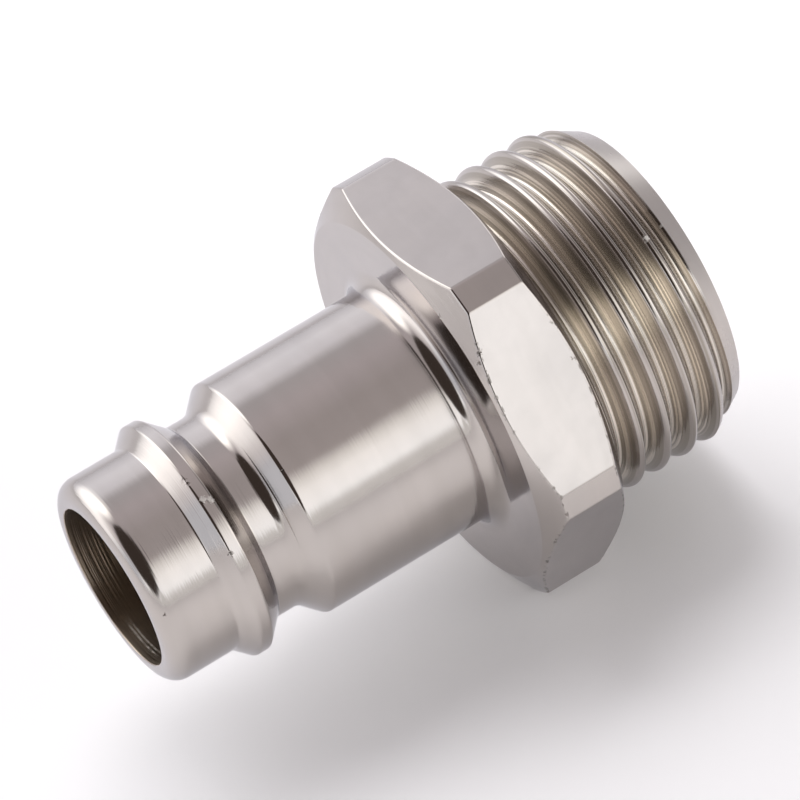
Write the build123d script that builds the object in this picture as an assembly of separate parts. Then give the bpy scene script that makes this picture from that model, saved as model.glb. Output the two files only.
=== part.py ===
from build123d import *
import math
import os

# Quick coupling nipple: the plug half of an air and fluid coupling.
# One piece, turned from a hexagon bar of brass and nickel plated.
# It is drawn standing on its nose tip, with its axis along Z and the
# stations along the axis counted from the tip. At the end it is laid on
# one flat of the hexagon, nose towards -X, which is how it comes to rest.
# All sizes are in millimetres and degrees.

# Nose: the smooth end that goes into the socket's seal
NOSE_D = 13.1
NOSE_LENGTH = 4.25
TIP_R = 1.1

# Locking ridge, which the socket's balls catch behind
RIDGE_D = 15.0
RIDGE_LAND = 0.7
RIDGE_FRONT_DEG = 45.0
RIDGE_BACK_DEG = 45.0
RIDGE_EDGE_R = 0.25
RIDGE_FOOT_R = 0.12

# Waist, the ball groove between the ridge and the ramp
WAIST_D = 12.45
WAIST_LENGTH = 1.65
WAIST_FRONT_R = 0.15
WAIST_BACK_R = 1.0

# Ramp and the long smooth body that the socket's sleeve slides over
RAMP_DEG = 45.0
BODY_D = 15.0
BODY_LENGTH = 11.3
BODY_EDGE_R = 0.3
BODY_ROOT_R = 1.0

# Hexagon for the spanner, with turned corners and a chamfer on both faces
HEX_ACROSS_FLATS = 24.0
HEX_LENGTH = 5.6
HEX_CORNER_D = 26.76
HEX_FACE_D = 23.36
HEX_CHAMFER_DEG = 30.0

# Male pipe thread G 1/2, Whitworth form, right-hand
THREAD_NOMINAL_D = 20.955
THREAD_ALLOWANCE = 0.25
THREADS_PER_INCH = 14
THREAD_LENGTH = 9.95
THREAD_FLANK_DEG = 27.5
THREAD_CLOCK_DEG = 164.0
LEAD_IN_D = 18.16
LEAD_IN_DEG = 30.0

# Bore, straight through and open at both ends
BORE_D = 10.15
BORE_END_CHAMFER = 0.5

# Cutting allowances, which leave no mark on the finished part
OVERCUT = 0.2
THREAD_OVERLAP = 1.0

# Whitworth form: the sharp triangle's height, the height of the rounded
# thread and its rounding radius follow from the pitch
INCH = 25.4
PITCH = INCH / THREADS_PER_INCH
TRIANGLE_H = PITCH / (2 * math.tan(math.radians(THREAD_FLANK_DEG)))
THREAD_DEPTH = TRIANGLE_H * 2 / 3
SHARP_CUT = TRIANGLE_H / 6
ROOT_R = SHARP_CUT / (1 / math.sin(math.radians(THREAD_FLANK_DEG)) - 1)
THREAD_D = THREAD_NOMINAL_D - THREAD_ALLOWANCE


def slope_run(rise, angle_deg):
    """Length along the axis of a cone that rises by rise at an angle to the axis."""
    return rise / math.tan(math.radians(angle_deg))


# Stations along the axis, from the nose tip
RIDGE_START = NOSE_LENGTH
LAND_START = RIDGE_START + slope_run((RIDGE_D - NOSE_D) / 2, RIDGE_FRONT_DEG)
LAND_END = LAND_START + RIDGE_LAND
WAIST_START = LAND_END + slope_run((RIDGE_D - WAIST_D) / 2, RIDGE_BACK_DEG)
RAMP_START = WAIST_START + WAIST_LENGTH
BODY_START = RAMP_START + slope_run((BODY_D - WAIST_D) / 2, RAMP_DEG)
HEX_START = BODY_START + BODY_LENGTH
HEX_END = HEX_START + HEX_LENGTH
TOTAL_LENGTH = HEX_END + THREAD_LENGTH


def turned(outline):
    """Solid of revolution about Z from a closed outline in the XZ plane."""
    with BuildPart() as blank:
        with BuildSketch(Plane.XZ):
            with BuildLine():
                add(outline)
            make_face()
        revolve(axis=Axis.Z)
    return blank.part


def nose_and_body():
    """Nose, ridge, waist, ramp and body, ending inside the hexagon."""
    core_r = BODY_D / 2 + BODY_ROOT_R
    core_end = HEX_START + HEX_LENGTH / 2
    points = [
        (0, 0),
        (NOSE_D / 2, 0),
        (NOSE_D / 2, RIDGE_START),
        (RIDGE_D / 2, LAND_START),
        (RIDGE_D / 2, LAND_END),
        (WAIST_D / 2, WAIST_START),
        (WAIST_D / 2, RAMP_START),
        (BODY_D / 2, BODY_START),
        (BODY_D / 2, HEX_START),
        (core_r + OVERCUT, HEX_START),
        (core_r + OVERCUT, core_end),
        (0, core_end),
    ]
    corner_radii = [
        TIP_R,
        RIDGE_FOOT_R,
        RIDGE_EDGE_R,
        RIDGE_EDGE_R,
        WAIST_FRONT_R,
        WAIST_BACK_R,
        BODY_EDGE_R,
        BODY_ROOT_R,
        0,
        0,
    ]
    with BuildLine() as outline:
        FilletPolyline(*points, radius=corner_radii)
        Line(points[-1], points[0])
    return turned(outline.line)


def hexagon():
    """Spanner hexagon: the bar's flats inside a turned blank with two chamfers."""
    face_r = HEX_FACE_D / 2
    corner_r = HEX_CORNER_D / 2
    chamfer = (corner_r - face_r) * math.tan(math.radians(HEX_CHAMFER_DEG))
    with BuildLine() as outline:
        Polyline(
            (0, HEX_START),
            (face_r, HEX_START),
            (corner_r, HEX_START + chamfer),
            (corner_r, HEX_END - chamfer),
            (face_r, HEX_END),
            (0, HEX_END),
            close=True,
        )
    with BuildPart() as bar:
        with BuildSketch(Plane.XY.offset(HEX_START)):
            RegularPolygon(HEX_ACROSS_FLATS / 2, 6, major_radius=False, rotation=30)
        extrude(amount=HEX_LENGTH)
        add(turned(outline.line), mode=Mode.INTERSECT)
    return bar.part


def thread_groove(start, travel):
    """One continuous right-hand groove of Whitworth form about the axis."""
    crest_r = THREAD_D / 2
    apex_r = crest_r - THREAD_DEPTH - SHARP_CUT
    outer_r = crest_r + OVERCUT
    half_width = (outer_r - apex_r) * math.tan(math.radians(THREAD_FLANK_DEG))
    with BuildPart() as groove:
        with BuildLine() as path:
            Helix(PITCH, travel, crest_r, center=(0, 0, start))
        with BuildSketch(Plane.XZ):
            with BuildLine():
                FilletPolyline(
                    (outer_r, start - half_width),
                    (apex_r, start),
                    (outer_r, start + half_width),
                    radius=[ROOT_R],
                )
                Line((outer_r, start + half_width), (outer_r, start - half_width))
            make_face()
        sweep(path=path.line, is_frenet=True)
    return groove.part.rotate(Axis.Z, THREAD_CLOCK_DEG)


def threaded_end():
    """Thread with its long lead-in; the groove runs right up to the hexagon.

    The groove is cut in a rod that is longer at both ends, and the rod is then
    turned to length, so no cut begins or ends at the groove's own ends.
    """
    start = HEX_END - THREAD_OVERLAP
    groove_start = start - PITCH
    groove_travel = TOTAL_LENGTH + PITCH - groove_start
    with BuildPart() as rod:
        with Locations((0, 0, groove_start - PITCH)):
            Cylinder(
                THREAD_D / 2,
                groove_travel + 2 * PITCH,
                align=(Align.CENTER, Align.CENTER, Align.MIN),
            )
        add(thread_groove(groove_start, groove_travel), mode=Mode.SUBTRACT)
    blank_r = THREAD_D / 2 + OVERCUT
    lead_in_start = TOTAL_LENGTH - slope_run(blank_r - LEAD_IN_D / 2, LEAD_IN_DEG)
    with BuildLine() as outline:
        Polyline(
            (0, start),
            (blank_r, start),
            (blank_r, lead_in_start),
            (LEAD_IN_D / 2, TOTAL_LENGTH),
            (0, TOTAL_LENGTH),
            close=True,
        )
    return rod.part & turned(outline.line)


def bore():
    """Straight bore with a small chamfer at the threaded end."""
    chamfer_r = BORE_D / 2 + BORE_END_CHAMFER
    with BuildLine() as outline:
        Polyline(
            (0, -OVERCUT),
            (BORE_D / 2, -OVERCUT),
            (BORE_D / 2, TOTAL_LENGTH - BORE_END_CHAMFER),
            (chamfer_r, TOTAL_LENGTH),
            (chamfer_r, TOTAL_LENGTH + OVERCUT),
            (0, TOTAL_LENGTH + OVERCUT),
            close=True,
        )
    return turned(outline.line)


def nipple():
    """The whole piece, still upright on its nose tip."""
    outside = hexagon() + nose_and_body() + threaded_end()
    return outside - bore()


def laid_on_a_flat(piece):
    """Axis along X at half the hexagon's height, centred on the length."""
    lying = piece.rotate(Axis.Y, 90)
    return lying.moved(Location((-TOTAL_LENGTH / 2, 0, HEX_ACROSS_FLATS / 2)))


os.makedirs("parts", exist_ok=True)
finished = laid_on_a_flat(nipple())
export_step(finished.solids()[0], "parts/nipple.step")
print("length", round(TOTAL_LENGTH, 3), "volume", round(finished.volume, 1))
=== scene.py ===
import math

import bpy
from mathutils import Matrix, Vector


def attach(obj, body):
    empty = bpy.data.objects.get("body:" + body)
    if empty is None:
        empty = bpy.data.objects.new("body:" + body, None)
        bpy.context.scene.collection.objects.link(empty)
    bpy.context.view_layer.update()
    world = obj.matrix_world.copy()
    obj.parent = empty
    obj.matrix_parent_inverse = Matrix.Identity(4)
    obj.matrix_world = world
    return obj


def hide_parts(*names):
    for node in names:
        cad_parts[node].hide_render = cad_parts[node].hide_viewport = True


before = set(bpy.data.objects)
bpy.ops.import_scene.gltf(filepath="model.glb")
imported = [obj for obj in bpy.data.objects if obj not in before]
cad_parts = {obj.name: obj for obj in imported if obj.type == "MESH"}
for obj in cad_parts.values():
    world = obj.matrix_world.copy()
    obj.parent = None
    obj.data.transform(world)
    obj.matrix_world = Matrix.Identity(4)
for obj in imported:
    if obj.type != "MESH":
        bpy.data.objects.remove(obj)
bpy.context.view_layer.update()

# NIPPLE
#
# The plug half of a quick coupling, one piece of brass turned from hexagon bar.
# Nose, ridge, ball groove, body, both faces of the hexagon, thread and bore are
# cut in one setting, then the piece is barrelled bright and nickel plated.
MM = 0.001
AXIS_HEIGHT = 12.0 * MM
TOTAL_LENGTH = 36.95 * MM

NOSE_R = 6.55 * MM
RIDGE_R = 7.5 * MM
WAIST_R = 6.225 * MM
BODY_R = 7.5 * MM
RIDGE_FRONT = 4.25 * MM
LAND_FRONT = 5.2 * MM
LAND_BACK = 5.9 * MM
WAIST_FRONT = 7.175 * MM
WAIST_BACK = 8.825 * MM
BODY_FRONT = 10.1 * MM

HEX_FRONT = 21.4 * MM
HEX_BACK = 27.0 * MM
HEX_FACE_R = 11.68 * MM
HALF_ACROSS_FLATS = 12.0 * MM
HALF_ACROSS_CORNERS = 13.376 * MM
CHAMFER_DEG = 30.0

PITCH = 25.4 * MM / 14
CREST_R = 10.3525 * MM
FLANK_DEG = 27.5
FORM_R = 0.137329 * PITCH
CREST_AT_TOP = 26.988 * MM
LEAD_IN_R = 9.08 * MM
LEAD_IN_DEG = 30.0

BORE_R = 5.075 * MM
BORE_CHAMFER = 0.5 * MM


def chamfer_end(outer_r):
    """How far a chamfer reaches along the hexagon where its bar has this radius."""
    return (outer_r - HEX_FACE_R) * math.tan(math.radians(CHAMFER_DEG))


def turned_outline(bar_r):
    """Corners of the outline from the bore's mouth over the outside and back:
    station, radius, rounding, steps of the rounding, share of drawn bar surface."""
    reach = chamfer_end(bar_r)
    front = [
        (0.0, BORE_R, 0.07 * MM, 3, 0),
        (0.0, NOSE_R, 1.1 * MM, 10, 0),
        (RIDGE_FRONT, NOSE_R, 0.12 * MM, 3, 0),
        (LAND_FRONT, RIDGE_R, 0.2 * MM, 4, 0),
        (LAND_BACK, RIDGE_R, 0.2 * MM, 4, 0),
        (WAIST_FRONT, WAIST_R, 0.15 * MM, 3, 0),
        (WAIST_BACK, WAIST_R, 1.0 * MM, 8, 0),
        (BODY_FRONT, BODY_R, 0.3 * MM, 4, 0),
        (HEX_FRONT, BODY_R, 1.0 * MM, 8, 0),
        (HEX_FRONT, HEX_FACE_R, 0.12 * MM, 3, 0),
        (HEX_FRONT + reach, bar_r, 0.15 * MM, 5, 1),
        (HEX_BACK - reach, bar_r, 0.12 * MM, 4, 1),
        (HEX_BACK, HEX_FACE_R, 0.12 * MM, 3, 0),
    ]
    back = [
        (TOTAL_LENGTH, BORE_R + BORE_CHAMFER, 0.0, 0, 0),
        (TOTAL_LENGTH - BORE_CHAMFER, BORE_R, 0.0, 0, 0),
    ]
    return front, back


def rounded(corners):
    """Rows of the outline: each corner becomes an arc with a narrow strip at both
    ends, so that the light runs straight over the long plain stretches."""
    strip = 0.05 * MM
    rows = []
    for here, (station, radius, rounding, steps, drawn) in enumerate(corners):
        point = Vector((station, radius))
        if not rounding:
            rows.append((point, drawn, 0.0))
            continue
        before = Vector(corners[here - 1][:2]) if here else Vector((TOTAL_LENGTH, BORE_R))
        after = Vector(corners[here + 1][:2]) if here + 1 < len(corners) else Vector((HEX_BACK, 0))
        into = (point - before).normalized()
        out = (after - point).normalized()
        turn = into.angle(out)
        reach = rounding * math.tan(turn / 2)
        side = math.copysign(1.0, into.x * out.y - into.y * out.x)
        centre = point - into * reach + Vector((-into.y, into.x)) * side * rounding
        arm = point - into * reach - centre
        rows.append((point - into * (reach + strip), drawn, 0.0))
        for step in range(steps + 1):
            arc_point = centre + Matrix.Rotation(side * turn * step / steps, 2) @ arm
            rows.append((arc_point, drawn, float(drawn)))
        rows.append((point + out * (reach + strip), drawn, 0.0))
    return rows


def thread_rows():
    """Stations of the rows that climb with the thread, from one pitch before it:
    seven on each rounding of crest and root and two on each flank."""
    arc = FORM_R * math.cos(math.radians(FLANK_DEG))
    half = PITCH / 2
    marks = [arc * math.sin(math.radians(x)) for x in (-90, -52, -25, 0, 25, 52, 90)]
    marks += [arc + (half - 2 * arc) * x / 3 for x in (1, 2)]
    marks += [half + mark for mark in marks]
    turns = range(-1, math.ceil((TOTAL_LENGTH - CREST_AT_TOP) / PITCH) + 1)
    return [CREST_AT_TOP + turn * PITCH + mark for turn in turns for mark in marks]


def outline_mesh():
    """The outline as a row of points: across the corners, with the same points
    across the flats, the climbing rows and the drawn bar as attributes."""
    corners = [rounded(part) for part in turned_outline(HALF_ACROSS_CORNERS)]
    flats = [rounded(part) for part in turned_outline(HALF_ACROSS_FLATS)]
    climb = [(Vector((station, CREST_R)), 0.0, 0.0) for station in thread_rows()]
    at_corners = corners[0] + climb + corners[1]
    at_flats = flats[0] + climb + flats[1]
    climbing = [0.0] * len(corners[0]) + [1.0] * len(climb) + [0.0] * len(corners[1])
    mesh = bpy.data.meshes.new("outline")
    mesh.from_pydata([(row[0].x, row[0].y, 0.0) for row in at_corners], [], [])
    marks = {
        "climbing": climbing,
        "bar_row": [row[1] for row in at_corners],
        "edge_row": [row[2] for row in at_corners],
    }
    for name, values in marks.items():
        mesh.attributes.new(name, "FLOAT", "POINT").data.foreach_set("value", values)
    flat = [axis for row in at_flats for axis in (row[0].x, row[0].y, 0.0)]
    mesh.attributes.new("across_flats", "FLOAT_VECTOR", "POINT").data.foreach_set("vector", flat)
    return mesh


def place(tree, kind, feeds=None, **settings):
    """Add a node, set it up and feed its inputs with values or other outputs."""
    node = tree.nodes.new(kind)
    for name, value in settings.items():
        setattr(node, name, value)
    for socket, value in (feeds or {}).items():
        if isinstance(value, bpy.types.NodeSocket):
            tree.links.new(value, node.inputs[socket])
        else:
            node.inputs[socket].default_value = value
    return node


def sums(tree):
    """Arithmetic for one tree: work("ADD", a, b) gives the output of a Math node."""
    def work(operation, *terms):
        return place(tree, "ShaderNodeMath", dict(enumerate(terms)), operation=operation).outputs[0]
    return work


def lathe_tree(finish):
    """Sweep the outline round the axis; the bar's six flats push its rows in and
    the thread's rows climb one pitch for each turn."""
    tree = bpy.data.node_groups.new("turned from hexagon bar", "GeometryNodeTree")
    tree.interface.new_socket("Outline", in_out="INPUT", socket_type="NodeSocketGeometry")
    sizes = {
        "Half Across Flats": HALF_ACROSS_FLATS,
        "Half Across Corners": HALF_ACROSS_CORNERS,
        "Edge Softness": 0.07 * MM,
        "Pitch": PITCH,
        "Crest Radius": CREST_R,
        "Form Radius": FORM_R,
        "Flank Angle": math.radians(FLANK_DEG),
        "Crest at Top": CREST_AT_TOP,
        "Thread Start": HEX_BACK,
        "Thread End": TOTAL_LENGTH,
        "Lead-in Radius": LEAD_IN_R,
        "Lead-in Angle": math.radians(LEAD_IN_DEG),
        "Nose Tip": -TOTAL_LENGTH / 2,
        "Axis Height": AXIS_HEIGHT,
        "Weld": 0.0008 * MM,
    }
    for name in sizes:
        tree.interface.new_socket(name, in_out="INPUT", socket_type="NodeSocketFloat")
    tree.interface.new_socket("Finish", in_out="INPUT", socket_type="NodeSocketMaterial")
    tree.interface.new_socket("Piece", in_out="OUTPUT", socket_type="NodeSocketGeometry")
    given = tree.nodes.new("NodeGroupInput").outputs
    work = sums(tree)

    # A sheet of rows and columns, closed into the piece by the last weld
    sector = 64
    columns = 6 * sector
    count = place(tree, "GeometryNodeAttributeDomainSize", {0: given["Outline"]}).outputs["Point Count"]
    sheet = place(tree, "GeometryNodeMeshGrid", {
        "Size X": 1.0, "Size Y": 1.0, "Vertices X": columns + 1, "Vertices Y": work("ADD", count, 1)})
    at = place(tree, "ShaderNodeSeparateXYZ", {0: tree.nodes.new("GeometryNodeInputPosition").outputs[0]})
    column = work("ROUND", work("MULTIPLY", work("ADD", at.outputs["X"], 0.5), columns))
    row = work("ROUND", work("MULTIPLY", work("ADD", at.outputs["Y"], 0.5), count))
    row = work("MODULO", row, count)

    # From the middle of a flat to the middle of a corner: 22 wide columns over the
    # flat, 8 narrow ones round its edge and 2 over the turned corner
    edge_deg = 25.45
    drawn_deg = 26.3
    side = work("FLOOR", work("DIVIDE", column, sector))
    along = work("SUBTRACT", work("SUBTRACT", column, work("MULTIPLY", side, sector)), sector / 2)
    steps = work("ABSOLUTE", along)
    turn = 0.0
    for first, last, degrees in ((0, 22, edge_deg), (22, 30, 1.6), (30, 32, 2.95)):
        spread = place(tree, "ShaderNodeMapRange", {
            "Value": steps, "From Min": first, "From Max": last, "To Min": 0.0,
            "To Max": math.radians(degrees)}, clamp=True)
        turn = work("ADD", turn, spread.outputs["Result"])
    off_flat = work("MULTIPLY", turn, work("SIGN", along))
    angle = work("ADD", off_flat, work("MULTIPLY", side, math.radians(60)))

    # The bar: flats that meet turned corners
    flat_r = work("DIVIDE", given["Half Across Flats"], work("COSINE", off_flat))
    bar_r = work("SMOOTH_MIN", flat_r, given["Half Across Corners"], given["Edge Softness"])
    depth = work("SUBTRACT", given["Half Across Corners"], given["Half Across Flats"])
    share = work("DIVIDE", work("SUBTRACT", bar_r, given["Half Across Flats"]), depth)

    def on_row(value, data_type):
        return place(tree, "GeometryNodeSampleIndex", {
            "Geometry": given["Outline"], "Value": value, "Index": row},
            data_type=data_type, domain="POINT").outputs[0]

    def kept(name, data_type):
        reader = place(tree, "GeometryNodeInputNamedAttribute", {"Name": name}, data_type=data_type)
        return on_row(reader.outputs[0], data_type)

    corner_point = on_row(tree.nodes.new("GeometryNodeInputPosition").outputs[0], "FLOAT_VECTOR")
    flat_point = kept("across_flats", "FLOAT_VECTOR")
    blend = place(tree, "ShaderNodeMix", {"Factor": share, 4: flat_point, 5: corner_point},
                  data_type="VECTOR", clamp_factor=False)
    point = place(tree, "ShaderNodeSeparateXYZ", {0: blend.outputs[1]})
    climbing = kept("climbing", "FLOAT")
    bar_row = kept("bar_row", "FLOAT")

    # The thread: rows climb with the angle and end on the hexagon and the end face
    climb = work("MULTIPLY", given["Pitch"], work("DIVIDE", angle, 2 * math.pi))
    station = work("ADD", point.outputs["X"], climb)
    station = work("MINIMUM", work("MAXIMUM", station, given["Thread Start"]), given["Thread End"])
    half = work("MULTIPLY", given["Pitch"], 0.5)
    from_crest = work("SUBTRACT", work("SUBTRACT", station, given["Crest at Top"]), climb)
    off_crest = work("PINGPONG", from_crest, half)
    off_root = work("SUBTRACT", half, off_crest)
    slope = work("TANGENT", given["Flank Angle"])

    # The rounding takes a sixth of the sharp form's depth off both crest and root
    sharp_depth = work("DIVIDE", half, slope)
    sharp_crest = work("ADD", given["Crest Radius"], work("DIVIDE", sharp_depth, 6.0))
    thread_depth = work("MULTIPLY", sharp_depth, 2 / 3)
    flank = work("SUBTRACT", sharp_crest, work("DIVIDE", off_crest, slope))
    root_r = work("SUBTRACT", given["Crest Radius"], thread_depth)
    arc_end = work("MULTIPLY", given["Form Radius"], work("COSINE", given["Flank Angle"]))

    def arc_height(offset):
        square = work("MULTIPLY", given["Form Radius"], given["Form Radius"])
        left = work("MAXIMUM", work("SUBTRACT", square, work("MULTIPLY", offset, offset)), 0.0)
        return work("SUBTRACT", given["Form Radius"], work("SQRT", left))

    def pick(when, yes, no):
        chosen = place(tree, "ShaderNodeMix", {"Factor": when, "A": no, "B": yes}, data_type="FLOAT")
        return chosen.outputs[0]

    crest = work("SUBTRACT", given["Crest Radius"], arc_height(off_crest))
    root = work("ADD", root_r, arc_height(off_root))
    form = pick(work("LESS_THAN", off_crest, arc_end), crest, flank)
    form = pick(work("LESS_THAN", off_root, arc_end), root, form)
    run = work("SUBTRACT", given["Thread End"], station)
    cone = work("MULTIPLY", run, work("TANGENT", given["Lead-in Angle"]))
    cone = work("ADD", given["Lead-in Radius"], cone)
    thread_r = work("SMOOTH_MIN", form, cone, 0.03 * MM)

    # Round the axis, which lies along X
    far = pick(climbing, station, point.outputs["X"])
    out = pick(climbing, thread_r, point.outputs["Y"])
    spot = place(tree, "ShaderNodeCombineXYZ", {
        "X": work("ADD", far, given["Nose Tip"]),
        "Y": work("MULTIPLY", work("MULTIPLY", out, work("SINE", angle)), -1.0),
        "Z": work("ADD", work("MULTIPLY", out, work("COSINE", angle)), given["Axis Height"])})
    on_flat = work("MULTIPLY", bar_row, work("LESS_THAN", turn, math.radians(drawn_deg)))
    skin = work("MINIMUM", given["Crest Radius"], cone)
    groove = work("DIVIDE", work("SUBTRACT", skin, thread_r), thread_depth)
    marked = sheet.outputs["Mesh"]
    stored = {
        "drawn_bar": on_flat,
        "groove": work("MULTIPLY", groove, climbing),
        "edge": kept("edge_row", "FLOAT"),
    }
    for name, value in stored.items():
        marked = place(tree, "GeometryNodeStoreNamedAttribute", {
            "Geometry": marked, "Name": name, "Value": value}, data_type="FLOAT", domain="POINT").outputs[0]
    swept = place(tree, "GeometryNodeSetPosition", {"Geometry": marked, "Position": spot.outputs[0]})
    welded = place(tree, "GeometryNodeMergeByDistance", {
        "Geometry": swept.outputs[0], "Distance": given["Weld"]})
    smooth = place(tree, "GeometryNodeSetShadeSmooth", {0: welded.outputs[0]}, domain="FACE")
    crisp_deg = 28.0
    fold = tree.nodes.new("GeometryNodeInputMeshEdgeAngle").outputs["Unsigned Angle"]
    crisp = place(tree, "GeometryNodeSetShadeSmooth", {
        0: smooth.outputs[0], "Selection": work("GREATER_THAN", fold, math.radians(crisp_deg)),
        "Shade Smooth": False}, domain="EDGE")
    real = place(tree, "GeometryNodeRealizeInstances", {0: crisp.outputs[0]})
    done = place(tree, "GeometryNodeSetMaterial", {0: real.outputs[0], "Material": given["Finish"]})
    place(tree, "NodeGroupOutput", {0: done.outputs[0]})
    return tree, dict(sizes, Finish=finish)


def nickel_plate():
    """Bright nickel over turned brass: fine rings from the tool, a few nicks, pale scuffs
    and painted highlights, a brown tint where the bath leaves grooves dull, and a dull
    brown bore darkened further as painted shade."""
    material = bpy.data.materials.new("nickel plate")
    material.use_nodes = True
    tree = material.node_tree
    shader = tree.nodes["Principled BSDF"]
    work = sums(tree)
    whole = tree.nodes.new("ShaderNodeTexCoord").outputs["Object"]
    at = place(tree, "ShaderNodeSeparateXYZ", {0: whole})
    up = work("SUBTRACT", at.outputs["Z"], AXIS_HEIGHT)
    radius = work("SQRT", work("ADD", work("MULTIPLY", at.outputs["Y"], at.outputs["Y"]),
                               work("MULTIPLY", up, up)))
    turning = place(tree, "ShaderNodeCombineXYZ", {"X": at.outputs["X"], "Y": radius, "Z": 0.0}).outputs[0]
    drawn = place(tree, "ShaderNodeAttribute", attribute_name="drawn_bar").outputs["Fac"]

    def noise(vector, scale, detail=2.0, roughness=0.5):
        return place(tree, "ShaderNodeTexNoise", {
            "Vector": vector, "Scale": scale, "Detail": detail, "Roughness": roughness}).outputs["Fac"]

    def span(value, low, high, to_low=0.0, to_high=1.0):
        return place(tree, "ShaderNodeMapRange", {
            "Value": value, "From Min": low, "From Max": high, "To Min": to_low,
            "To Max": to_high}, interpolation_type="SMOOTHSTEP").outputs["Result"]

    # Rings from the feed and broader ones, clouds in the plating, a faint peel
    feed = noise(turning, 10000.0, 1.0)
    broad = noise(turning, 900.0, 2.0)
    cloud = noise(whole, 260.0, 4.0, 0.55)
    peel = noise(whole, 650.0, 1.0)

    # Where the surfaces lie: turned, in the thread, on its lead-in cone, in the bore
    turned_share = work("SUBTRACT", 1.0, drawn)
    lead_in = work("MULTIPLY", work("SUBTRACT", TOTAL_LENGTH / 2, at.outputs["X"]),
                   math.tan(math.radians(LEAD_IN_DEG)))
    under_cone = work("SUBTRACT", work("ADD", lead_in, LEAD_IN_R), radius)
    behind_hex = span(at.outputs["X"], 8.3 * MM, 8.6 * MM)
    in_thread = work("MULTIPLY", behind_hex, span(under_cone, 0.02 * MM, 0.08 * MM))
    on_cone = work("SUBTRACT", behind_hex, in_thread)
    in_bore = span(radius, 5.15 * MM, 5.09 * MM)
    groove = place(tree, "ShaderNodeAttribute", attribute_name="groove").outputs["Fac"]
    thread_dull = span(groove, 0.1, 0.8)

    # The hexagon's edges are chipped by spanners, less round the flat on top
    edge = place(tree, "ShaderNodeAttribute", attribute_name="edge").outputs["Fac"]
    chips = noise(whole, 2200.0, 3.0, 0.6)
    worn = work("MULTIPLY", span(edge, 0.1, 0.6), span(chips, 0.52, 0.62))
    worn = work("MULTIPLY", worn, span(at.outputs["Z"], 22.6 * MM, 21.6 * MM, 0.1, 1.0))

    # Lines that the thread tool left along the thread
    round_x = work("ARCTAN2", work("MULTIPLY", at.outputs["Y"], -1.0), up)
    phase = work("SUBTRACT", work("DIVIDE", at.outputs["X"], PITCH / (2 * math.pi)), round_x)
    helix = place(tree, "ShaderNodeCombineXYZ", {
        "X": work("COSINE", phase), "Y": work("SINE", phase),
        "Z": work("MULTIPLY", at.outputs["X"], 25.0)}).outputs[0]
    lines = noise(helix, 2.8, 2.0, 0.6)
    cutter = work("MULTIPLY", lines, work("MULTIPLY", work("MULTIPLY", in_thread, thread_dull), 40.0))

    # Nicks from the barrel: place and width in millimetres, depth in thousandths,
    # then how dirty, or below nought how pale a scuff or painted highlight
    nicks = [
        ((3.45, -8.50, 21.15), 0.22, 16.0, 0.7),
        ((3.20, -8.62, 20.60), 0.17, 14.0, 0.6),
        ((3.85, -8.47, 21.20), 0.13, 10.0, 0.2),
        ((7.75, -7.80, 22.50), 0.15, 8.0, 0.4),
        ((7.95, -8.90, 20.60), 0.15, 8.0, 0.4),
        ((8.10, -10.05, 18.60), 0.15, 8.0, 0.4),
        ((-13.32, -2.85, 18.90), 0.24, 9.0, 0.0),
        ((-13.23, -3.15, 18.80), 0.16, 9.0, 0.2),
        ((-13.26, -6.47, 15.76), 0.17, 12.0, 0.7),
        # These two pale marks on the ridge's land are a painted highlight of a raised burr
        ((-13.00, -4.20, 18.22), 0.28, -6.0, -1.0),
        ((-12.72, -4.38, 18.09), 0.28, -6.0, -1.0),
        ((-17.97, -6.08, 13.90), 0.15, 12.0, 0.9),
        ((-8.33, -4.93, 17.63), 0.14, 10.0, 0.6),
        ((15.90, -6.36, 20.16), 0.24, -6.0, -1.0),
        ((17.27, -5.70, 19.77), 0.17, -6.0, -0.8),
        ((2.95, -5.58, 22.30), 0.16, 10.0, 0.4),
        ((-2.0, 7.1, 14.6), 0.18, 10.0, 0.3),
        ((6.4, 9.8, 18.6), 0.20, 12.0, 0.5),
    ]
    ragged = place(tree, "ShaderNodeTexNoise", {"Vector": whole, "Scale": 5200.0, "Detail": 1.0})
    shift = place(tree, "ShaderNodeVectorMath", {
        0: ragged.outputs["Color"], 1: (0.5, 0.5, 0.5)}, operation="SUBTRACT").outputs[0]
    shift = place(tree, "ShaderNodeVectorMath", {
        0: shift, "Scale": 0.5 * MM}, operation="SCALE").outputs[0]
    strewn = place(tree, "ShaderNodeVectorMath", {0: whole, 1: shift}, operation="ADD").outputs[0]
    dents = 0.0
    scuff_and_highlight = 0.0
    dirt = work("MULTIPLY", worn, 0.55)
    for spot, width, depth, dirty in nicks:
        away = place(tree, "ShaderNodeVectorMath", {
            0: strewn, 1: Vector(spot) * MM}, operation="DISTANCE").outputs["Value"]
        dent = span(away, width * MM, 0.3 * width * MM)
        dents = work("ADD", dents, work("MULTIPLY", dent, depth))
        if dirty > 0:
            dirt = work("MAXIMUM", dirt, work("MULTIPLY", dent, dirty))
        elif dirty < 0:
            scuff_and_highlight = work("MAXIMUM", scuff_and_highlight, work("MULTIPLY", dent, -dirty))

    # Two pale lines round the bottom of the bore, just inside its mouth
    across = work("ABSOLUTE", work("SUBTRACT", at.outputs["X"], -17.68 * MM))
    across = work("ABSOLUTE", work("SUBTRACT", across, 0.11 * MM))
    along = work("ABSOLUTE", work("SUBTRACT", at.outputs["Y"], 0.15 * MM))
    pale_double_line = work("MULTIPLY", span(across, 0.10 * MM, 0.02 * MM), span(along, 2.2 * MM, 1.2 * MM))
    pale_double_line = work("MULTIPLY", pale_double_line, work("MULTIPLY", in_bore, span(up, 0.0, -2.0 * MM)))
    pale_double_line = work("MULTIPLY", pale_double_line, span(noise(whole, 2600.0, 1.0), 0.35, 0.6, 0.2, 0.6))
    scuff_and_highlight = work("MAXIMUM", scuff_and_highlight, pale_double_line)
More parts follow.
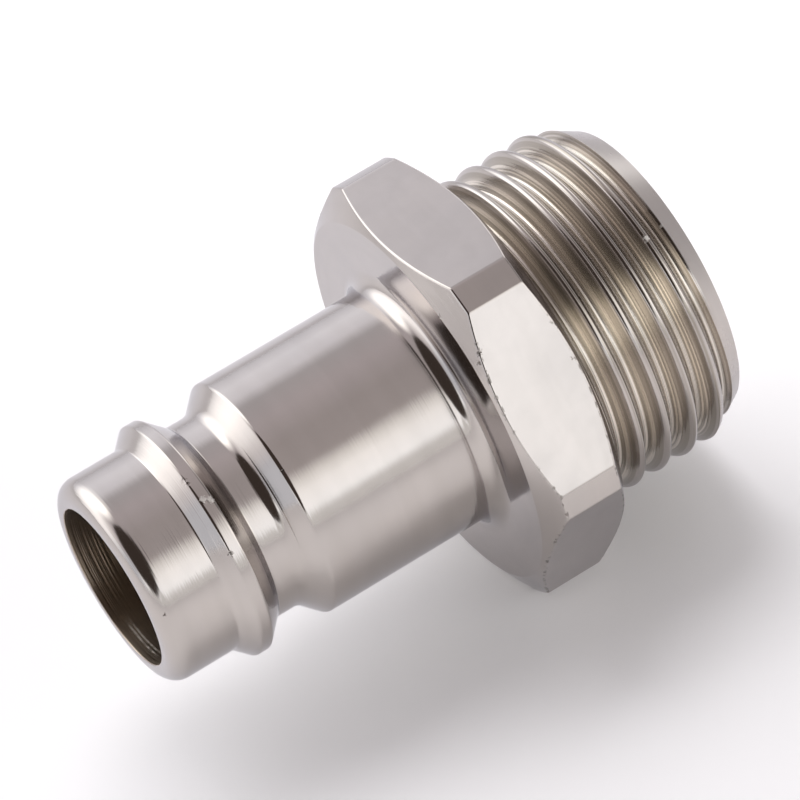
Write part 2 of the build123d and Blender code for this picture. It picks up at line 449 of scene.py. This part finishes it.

    # Nickel, and over it: its clouds, broad rings, the grooves' dull brown, the tool's
    # lines, the dull bore darkened as painted shade, dirt, and pale scuffs and painted highlights
    coloured = (0.575, 0.53, 0.495, 1.0)
    tones = [
        (span(cloud, 0.3, 0.7), (0.545, 0.505, 0.475, 1.0)),
        (span(broad, 0.35, 0.75, 0.0, 0.35), (0.51, 0.47, 0.435, 1.0)),
        (work("MULTIPLY", thread_dull, 0.9), (0.86, 0.795, 0.70, 1.0)),
        (span(lines, 0.46, 0.54, 0.0, work("MULTIPLY", in_thread, 0.8)), (0.36, 0.32, 0.27, 1.0)),
        # The bore's dull brown plating, darkened further as painted shade
        (work("MULTIPLY", in_bore, 0.95), (0.44, 0.365, 0.29, 1.0)),
        (dirt, (0.10, 0.085, 0.07, 1.0)),
        (scuff_and_highlight, (0.93, 0.90, 0.85, 1.0)),
    ]
    for share, tone in tones:
        coloured = place(tree, "ShaderNodeMix", {"Factor": share, 6: coloured, 7: tone},
                         data_type="RGBA").outputs[2]
    tree.links.new(coloured, shader.inputs["Base Color"])

    rough = work("ADD", 0.10, work("MULTIPLY", span(cloud, 0.3, 0.75), 0.05))
    rougher = ((in_thread, 0.05), (on_cone, 0.16), (scuff_and_highlight, 0.35), (thread_dull, 0.06),
               (in_bore, 0.20), (dirt, 0.3))
    for share, amount in rougher:
        rough = work("ADD", rough, work("MULTIPLY", share, amount))
    tree.links.new(rough, shader.inputs["Roughness"])

    # Heights in thousandths of a millimetre: rings, which are deepest on the nose and
    # lie in patches in the bore, the tool's lines, the peel, chips and nicks
    rings = work("ADD", work("MULTIPLY", feed, 4.6), work("MULTIPLY", broad, 2.0))
    rings = work("MULTIPLY", rings, work("MULTIPLY", turned_share, work("SUBTRACT", 1.0, in_thread)))
    rings = work("MULTIPLY", rings, span(at.outputs["X"], -11.0 * MM, -8.5 * MM, 1.25, 0.6))
    patches = span(noise(whole, 240.0, 1.0), 0.40, 0.62, 0.1, 1.5)
    bored = work("MULTIPLY", noise(turning, 5600.0, 1.0), patches)
    height = work("MULTIPLY", peel, work("SUBTRACT", 6.0, work("MULTIPLY", in_bore, 5.0)))
    height = work("ADD", work("ADD", rings, cutter), height)
    height = work("ADD", height, work("MULTIPLY", work("MULTIPLY", bored, in_bore), 28.0))
    height = work("SUBTRACT", height, work("MULTIPLY", worn, 7.0))
    height = work("SUBTRACT", height, dents)
    relief = place(tree, "ShaderNodeBump", {"Height": height, "Strength": 1.0, "Distance": 0.001 * MM})
    tree.links.new(relief.outputs[0], shader.inputs["Normal"])
    shader.inputs["Specular Tint"].default_value = (0.80, 0.81, 0.85, 1.0)
    shader.inputs["Metallic"].default_value = 1.0
    return material


def made(name, mesh, tree, values):
    """Run a tree on a mesh and keep the result as a plain mesh at the origin."""
    piece = bpy.data.objects.new(name, mesh)
    bpy.context.scene.collection.objects.link(piece)
    maker = piece.modifiers.new("making", "NODES")
    maker.node_group = tree
    for item in tree.interface.items_tree:
        if item.in_out == "INPUT" and item.name in values:
            maker[item.identifier] = values[item.name]
    graph = bpy.context.evaluated_depsgraph_get()
    result = bpy.data.meshes.new_from_object(piece.evaluated_get(graph), depsgraph=graph)
    piece.modifiers.clear()
    piece.data = result
    return piece


lathe, lathe_values = lathe_tree(nickel_plate())
nipple = made("nipple_turned", outline_mesh(), lathe, lathe_values)
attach(nipple, "root")
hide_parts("nipple")

# FLOOR
#
# A sheet of white card on the table, which runs out of sight on all sides.
# It glows a little to the eye and in the metal, so that it reads as white.
floor_mesh = bpy.data.meshes.new("floor")
FLOOR_REACH = 3.0
floor_mesh.from_pydata(
    [(-FLOOR_REACH, -FLOOR_REACH, 0), (FLOOR_REACH, -FLOOR_REACH, 0),
     (FLOOR_REACH, FLOOR_REACH, 0), (-FLOOR_REACH, FLOOR_REACH, 0)], [], [(0, 1, 2, 3)])
floor = bpy.data.objects.new("floor", floor_mesh)
bpy.context.scene.collection.objects.link(floor)
CARD_GLOW = 0.10
white_card = bpy.data.materials.new("white card")
white_card.use_nodes = True
card_tree = white_card.node_tree
card_tree.nodes.clear()
card_work = sums(card_tree)
seen = card_tree.nodes.new("ShaderNodeLightPath").outputs
shown = card_work("ADD", seen["Is Camera Ray"], seen["Is Glossy Ray"])
shown = card_work("MINIMUM", card_work("ADD", shown, seen["Is Transmission Ray"]), 1.0)
plain = place(card_tree, "ShaderNodeBsdfDiffuse", {"Color": (0.93, 0.92, 0.935, 1.0)})
glow = place(card_tree, "ShaderNodeEmission", {
    "Color": (1.0, 1.0, 1.0, 1.0),
    "Strength": card_work("MULTIPLY", shown, CARD_GLOW)})
both = place(card_tree, "ShaderNodeAddShader", {0: plain.outputs[0], 1: glow.outputs[0]})
place(card_tree, "ShaderNodeOutputMaterial", {"Surface": both.outputs[0]})
floor_mesh.materials.append(white_card)

# STUDIO LIGHT
#
# A light tent: pale walls, a dimmer roof, one long bright window low down at the
# front, and the dark room seen through the tent's opening round the camera.
world = bpy.data.worlds.new("light tent")
bpy.context.scene.world = world
world.use_nodes = True
tent = world.node_tree
tent.nodes.clear()
tent_work = sums(tent)
look = tent.nodes.new("ShaderNodeTexCoord").outputs["Generated"]
toward = place(tent, "ShaderNodeSeparateXYZ", {0: look}).outputs
round_x = tent_work("ARCTAN2", tent_work("MULTIPLY", toward["Y"], -1.0), toward["Z"])

# The cloth hangs in slight folds, so that its bands waver along the nipple
FOLD_START = 0.264
FOLD_RATE = 11.0
FOLD_DEPTH = 0.08
fold = tent_work("MULTIPLY", tent_work("SUBTRACT", toward["X"], FOLD_START), FOLD_RATE)
round_x = tent_work("ADD", round_x, tent_work("MULTIPLY", tent_work("SINE", fold), FOLD_DEPTH))

# A colour ramp holds tones up to 1, so the tent's tones are divided by this in it,
# and its strength brings them back
TENT_GAIN = 2.0


def band(stops):
    """Soft bands of tone that run along the nipple, from stops round its axis."""
    tones = place(tent, "ShaderNodeValToRGB", {
        0: tent_work("ADD", tent_work("DIVIDE", round_x, 2 * math.pi), 0.5)})
    ramp = tones.color_ramp
    ramp.elements.remove(ramp.elements[-1])
    for number, (degrees, colour) in enumerate(stops):
        stop = ramp.elements.new((degrees + 180) / 360) if number else ramp.elements[0]
        stop.color = [part / TENT_GAIN for part in colour] + [1.0]
    return tones.outputs["Color"]


# Degrees round the axis, from overhead towards the camera, and the tone there: along
# the tent's walls, then towards its end behind the thread
WALLS = [
    (-180, (0.80, 0.80, 0.84)),
    (-93, (0.84, 0.84, 0.88)),
    (-84, (1.00, 1.00, 1.07)),
    (-70, (1.15, 1.16, 1.25)),
    (-50, (1.00, 1.00, 1.08)),
    (-38, (0.58, 0.56, 0.59)),
    (-15, (0.62, 0.57, 0.60)),
    (12, (0.50, 0.46, 0.47)),
    (39, (0.52, 0.48, 0.49)),
    (48, (1.12, 1.11, 1.10)),
    (58, (1.48, 1.48, 1.50)),
    (75, (1.58, 1.61, 1.67)),
    (82, (0.90, 0.90, 0.90)),
    (90, (0.91, 0.90, 0.91)),
]
END = [
    (-180, (0.70, 0.70, 0.73)),
    (-92, (0.62, 0.61, 0.64)),
    (-84, (0.75, 0.74, 0.76)),
    (-70, (1.80, 1.80, 1.83)),
    (-50, (1.55, 1.54, 1.56)),
    (-39, (1.05, 1.02, 1.02)),
    (-24, (0.70, 0.67, 0.67)),
    (-13, (0.38, 0.355, 0.355)),
    (0, (0.15, 0.14, 0.14)),
    (34, (0.12, 0.11, 0.11)),
    (44, (0.80, 0.78, 0.74)),
    (53, (2.00, 1.97, 1.91)),
    (77, (2.00, 1.99, 1.96)),
    (87, (0.90, 0.89, 0.88)),
]


def cap(direction, inner_deg, outer_deg, fade="SMOOTHSTEP", narrow=1.0):
    """One inside a round patch of the sky, nothing outside it, soft at its rim.
    A patch may be narrower along the nipple than round it."""
    squeeze = Vector((narrow, 1.0, 1.0))
    axis = (Vector(direction) * squeeze).normalized()
    squeezed = place(tent, "ShaderNodeVectorMath", {0: look, 1: squeeze}, operation="MULTIPLY")
    ray = place(tent, "ShaderNodeVectorMath", {0: squeezed.outputs[0]}, operation="NORMALIZE")
    facing = place(tent, "ShaderNodeVectorMath", {0: ray.outputs[0], 1: axis}, operation="DOT_PRODUCT")
    away = tent_work("ARCCOSINE", tent_work("MINIMUM", facing.outputs["Value"], 1.0))
    return place(tent, "ShaderNodeMapRange", {
        "Value": away, "From Min": math.radians(outer_deg), "From Max": math.radians(inner_deg)},
        interpolation_type=fade).outputs["Result"]


def laid_over(share, below, colour):
    """One tone of the tent laid over another."""
    tone = [part / TENT_GAIN for part in colour] + [1.0]
    mixed = place(tent, "ShaderNodeMix", {"Factor": share, 6: below, 7: tone}, data_type="RGBA")
    return mixed.outputs[2]


END_BEGINS = 0.42
END_FULL = 0.62
at_end = place(tent, "ShaderNodeMapRange", {
    "Value": toward["X"], "From Min": END_BEGINS, "From Max": END_FULL},
    interpolation_type="SMOOTHSTEP")
sky = place(tent, "ShaderNodeMix", {
    "Factor": at_end.outputs["Result"], 6: band(WALLS), 7: band(END)}, data_type="RGBA").outputs[2]

# The cloth straight ahead of the nose and straight behind the thread
sky = laid_over(cap((-1, 0, 0), 16, 26), sky, (0.79, 0.82, 0.90))
sky = laid_over(cap((1, 0, 0), 27, 36), sky, (0.57, 0.55, 0.57))

# Light through the cloth at the back, beyond the nose
sky = laid_over(cap((-0.72, 0.63, 0.29), 3, 37, "LINEAR"), sky, (1.92, 1.90, 1.92))
sky = laid_over(cap((-0.36, 0.80, 0.48), 8, 33), sky, (2.30, 2.33, 2.38))
sky = laid_over(cap((-0.28, 0.57, 0.77), 6, 26), sky, (2.40, 2.40, 2.40))

# The dark room in the tent's opening
sky = laid_over(cap((-0.455, -0.49, 0.735), 36, 41, narrow=1.17), sky, (0.06, 0.046, 0.04))
tent_light = place(tent, "ShaderNodeBackground", {"Color": sky, "Strength": TENT_GAIN})
place(tent, "ShaderNodeOutputWorld", {"Surface": tent_light.outputs[0]})

# A soft lamp over the roof lights the card and gives the nipple its shadow
lamp_data = bpy.data.lights.new("roof lamp", "SPOT")
lamp_data.energy = 1.8
lamp_data.shadow_soft_size = 0.1
lamp_data.spot_size = math.radians(46)
lamp_data.spot_blend = 0.8
lamp = bpy.data.objects.new("roof lamp", lamp_data)
lamp_place = Vector((0.055, 0.13, 0.27))
lamp_aim = Vector((0.018, 0.022, 0.0)) - lamp_place
lamp.matrix_world = Matrix.Translation(lamp_place) @ lamp_aim.to_track_quat("-Z", "Y").to_matrix().to_4x4()
lamp.visible_glossy = False
bpy.context.scene.collection.objects.link(lamp)

# CAMERA
#
# It looks down at the nose from the front left, 41.5 degrees above the table,
# and is held with a tilt, so that the nipple's axis climbs in the picture.
camera_data = bpy.data.cameras.new("camera")
camera_data.sensor_width = 36.0
camera_data.lens = 259.89
camera_data.clip_start = 0.01
camera = bpy.data.objects.new("camera", camera_data)
bpy.context.scene.collection.objects.link(camera)
right = Vector((0.82918, -0.51577, -0.21553))
above = Vector((0.49291, 0.49277, 0.71709))
toward_camera = -Vector((0.26364, 0.70083, -0.66282))
turned_to = Matrix((right, above, toward_camera)).transposed().to_4x4()
camera.matrix_world = Matrix.Translation(Vector((-85.669, -231.399, 231.949)) * MM) @ turned_to
bpy.context.scene.camera = camera
bpy.context.scene.view_settings.view_transform = "Standard"
